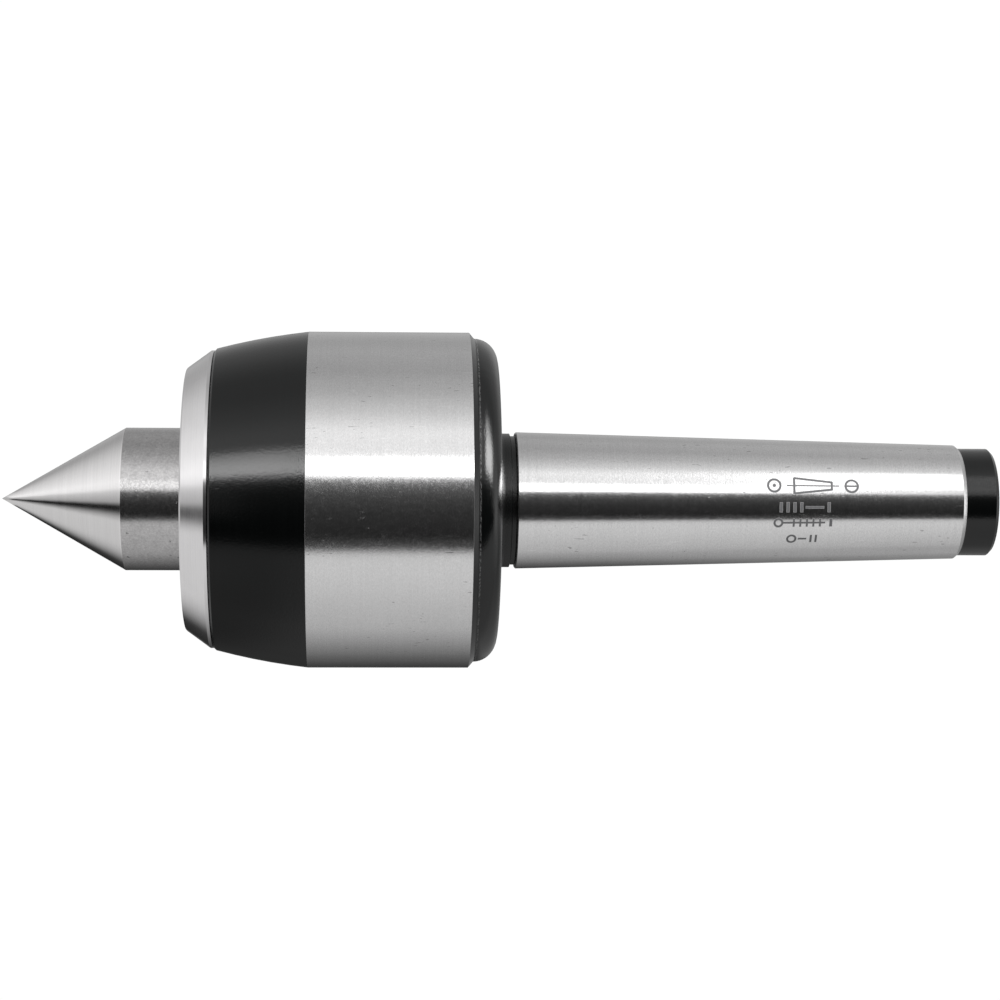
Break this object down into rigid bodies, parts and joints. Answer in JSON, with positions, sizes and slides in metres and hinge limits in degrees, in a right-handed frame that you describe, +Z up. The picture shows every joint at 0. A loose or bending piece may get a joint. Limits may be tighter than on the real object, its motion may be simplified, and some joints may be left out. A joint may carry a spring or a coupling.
{
  "type": "live center",
  "caption": "Live center with a 60 degree point turning on ball, thrust and needle bearings in a head on a Morse No. 3 taper shank.",
  "frame": {"origin": "on the turning axis, in the gauge plane of the taper shank", "axes": "+X along the axis from the point towards the tail of the shank, +Z up"},
  "size_m": [0.1743, 0.059, 0.059],
  "materials": {
    "ground_and_blackened_steel": "black oxide all over, then ground bright on the head's widest band and on the taper",
    "satin_steel": "fine turned satin",
    "point_steel": "hardened and ground satin",
    "bearing_steel": "fine ground",
    "polished_steel": "lapped",
    "pressed_steel": "cold rolled sheet, lightly oiled",
    "rivet_steel": "cold headed",
    "spring_steel": "tempered, faint blue",
    "blackened_spring_steel": "phosphated and oiled",
    "cage_brass": "machined",
    "seal_rubber": "moulded nitrile"
  },
  "bodies": {
    "housing": {"housing": "ground_and_blackened_steel", "front_cap": "satin_steel", "seal_rubber": "seal_rubber", "seal_case": "pressed_steel", "seal_garter_spring": "spring_steel", "front_bearing_outer_ring": "bearing_steel", "front_bearing_shields": "pressed_steel", "thrust_housing_washer": "bearing_steel", "disc_spring": "spring_steel", "needle_bearing_shell": "pressed_steel"},
    "spindle": {"spindle": "point_steel", "front_bearing_inner_ring": "bearing_steel", "spindle_circlip": "blackened_spring_steel", "thrust_shaft_washer": "bearing_steel"},
    "front_bearing_cage": {"front_bearing_balls": "polished_steel", "front_cage_front_half": "pressed_steel", "front_cage_rear_half": "pressed_steel", "front_cage_rivets": "rivet_steel"},
    "thrust_bearing_cage": {"thrust_bearing_balls": "polished_steel", "thrust_bearing_cage": "cage_brass"},
    "needle_bearing_cage": {"needle_rollers": "polished_steel", "needle_cage": "pressed_steel"}
  },
  "joints": [
    {"name": "spindle_spin", "type": "hinge", "parent": "housing", "child": "spindle", "pos_m": [0, 0, 0], "axis": [1, 0, 0], "continuous": true},
    {"name": "front_cage_orbit", "type": "hinge", "parent": "housing", "child": "front_bearing_cage", "pos_m": [0, 0, 0], "axis": [1, 0, 0], "continuous": true},
    {"name": "thrust_cage_orbit", "type": "hinge", "parent": "housing", "child": "thrust_bearing_cage", "pos_m": [0, 0, 0], "axis": [1, 0, 0], "continuous": true},
    {"name": "needle_cage_orbit", "type": "hinge", "parent": "housing", "child": "needle_bearing_cage", "pos_m": [0, 0, 0], "axis": [1, 0, 0], "continuous": true}
  ],
  "couplings": [
    {"joint": "front_cage_orbit", "follows": "spindle_spin", "ratio": 0.3976},
    {"joint": "thrust_cage_orbit", "follows": "spindle_spin", "ratio": 0.5},
    {"joint": "needle_cage_orbit", "follows": "spindle_spin", "ratio": 0.4289}
  ]
}
